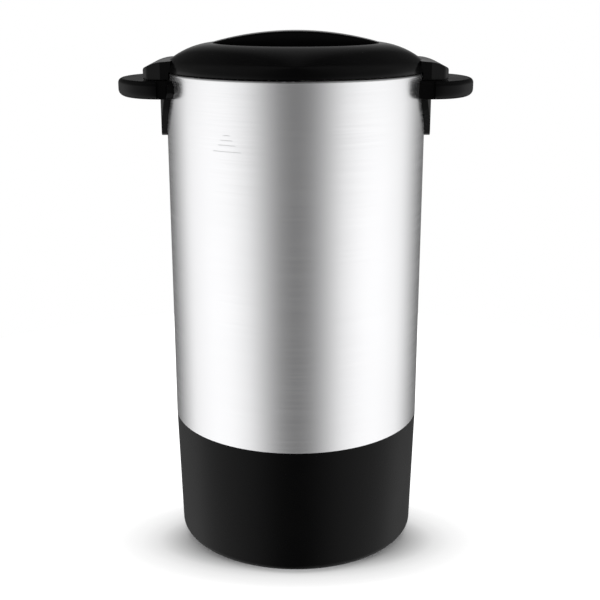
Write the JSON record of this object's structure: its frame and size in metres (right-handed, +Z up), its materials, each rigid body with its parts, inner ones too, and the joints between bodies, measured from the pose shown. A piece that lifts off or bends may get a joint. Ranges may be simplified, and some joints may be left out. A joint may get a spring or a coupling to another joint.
{
  "type": "coffee urn",
  "caption": "Round percolating coffee urn with a locking lid, two side handles, a sight gauge and a lever tap.",
  "frame": {"origin": "on the urn's axis, level with the underside of its feet", "axes": "+Z up; tap and sight gauge towards -Y; handles towards +X and -X"},
  "size_m": [0.274, 0.2837, 0.4119],
  "materials": {
    "steel_body": "brushed",
    "black_gloss": "gloss",
    "black_satin": "satin",
    "rubber_dark": "matte",
    "silicone": "matte",
    "chrome_trim": "polished",
    "clear_glass": "polished",
    "lens_amber": "gloss",
    "aluminium_part": "satin",
    "steel_parts": "satin",
    "brass_parts": "satin",
    "ceramic_white": "gloss",
    "lead_insulation": "matte"
  },
  "bodies": {
    "root": {"tank": "steel_body", "tank_studs": "steel_parts", "tank_weld_nuts": "steel_parts", "base_skirt": "black_satin", "base_screws": "steel_parts", "bottom_cover": "steel_parts", "cover_screws": "steel_parts", "rubber_feet": "rubber_dark", "heater_plate": "aluminium_part", "brew_element": "steel_parts", "heater_clamp": "steel_parts", "clamp_nuts": "steel_parts", "keep_warm_band": "steel_parts", "band_screw": "steel_parts", "thermostat": "ceramic_white", "thermostat_clip": "steel_parts", "thermal_fuse": "ceramic_white", "fuse_clip": "steel_parts", "terminal_block": "ceramic_white", "inner_leads": "lead_insulation", "switch_bezel": "black_gloss", "indicator_lenses": "lens_amber", "indicator_lamps": "clear_glass", "power_inlet": "black_gloss", "inlet_pins": "brass_parts", "inlet_screws": "steel_parts", "handle_left": "black_satin", "handle_right": "black_satin", "handle_screws": "steel_parts", "handle_washers": "silicone", "tap_body": "chrome_trim", "tap_gasket": "silicone", "tap_washer": "silicone", "tap_nut": "steel_parts", "tap_bonnet": "black_gloss", "lever_pin": "steel_parts", "tap_spring": "steel_parts", "gauge_glass": "clear_glass", "gauge_seal": "silicone", "gauge_guard": "steel_body", "gauge_cap": "black_gloss", "gauge_screw": "steel_parts", "pump_foot": "aluminium_part", "pump_tube": "aluminium_part", "coffee_basket": "aluminium_part", "basket_cover": "aluminium_part"},
    "lid_seal": {"lid_seal": "silicone"},
    "lid": {"lid_shell": "black_gloss", "lid_grip": "black_gloss", "grip_screws": "steel_parts"},
    "rocker": {"switch_rocker": "black_gloss"},
    "lever": {"tap_lever": "black_gloss"},
    "plunger": {"tap_plunger": "steel_parts", "tap_seal": "silicone"},
    "pump_valve": {"pump_valve": "steel_parts"}
  },
  "joints": [
    {"name": "lid_lift", "type": "slide", "parent": "root", "child": "lid_seal", "axis": [0, 0, 1], "range_m": [0, 0.12]},
    {"name": "lid_turn", "type": "hinge", "parent": "lid_seal", "child": "lid", "pos_m": [0, 0, 0.3827], "axis": [0, 0, 1], "range_deg": [0, 14]},
    {"name": "rocker_tilt", "type": "hinge", "parent": "root", "child": "rocker", "pos_m": [0, -0.098, 0.0525], "axis": [1, 0, 0], "range_deg": [0, 18]},
    {"name": "lever_tilt", "type": "hinge", "parent": "root", "child": "lever", "pos_m": [0, -0.152, 0.1525], "axis": [1, 0, 0], "range_deg": [0, 30], "stiffness_Nm_per_rad": 0.15, "springref_deg": -17.19},
    {"name": "plunger_lift", "type": "slide", "parent": "root", "child": "plunger", "axis": [0, 0, 1], "range_m": [0, 0.00345], "deforming": ["tap_spring"]},
    {"name": "pump_valve_lift", "type": "slide", "parent": "root", "child": "pump_valve", "axis": [0, 0, 1], "range_m": [0, 0.0025]}
  ],
  "couplings": [
    {"joint": "plunger_lift", "follows": "lever_tilt", "m_per_rad": 0.0064}
  ]
}
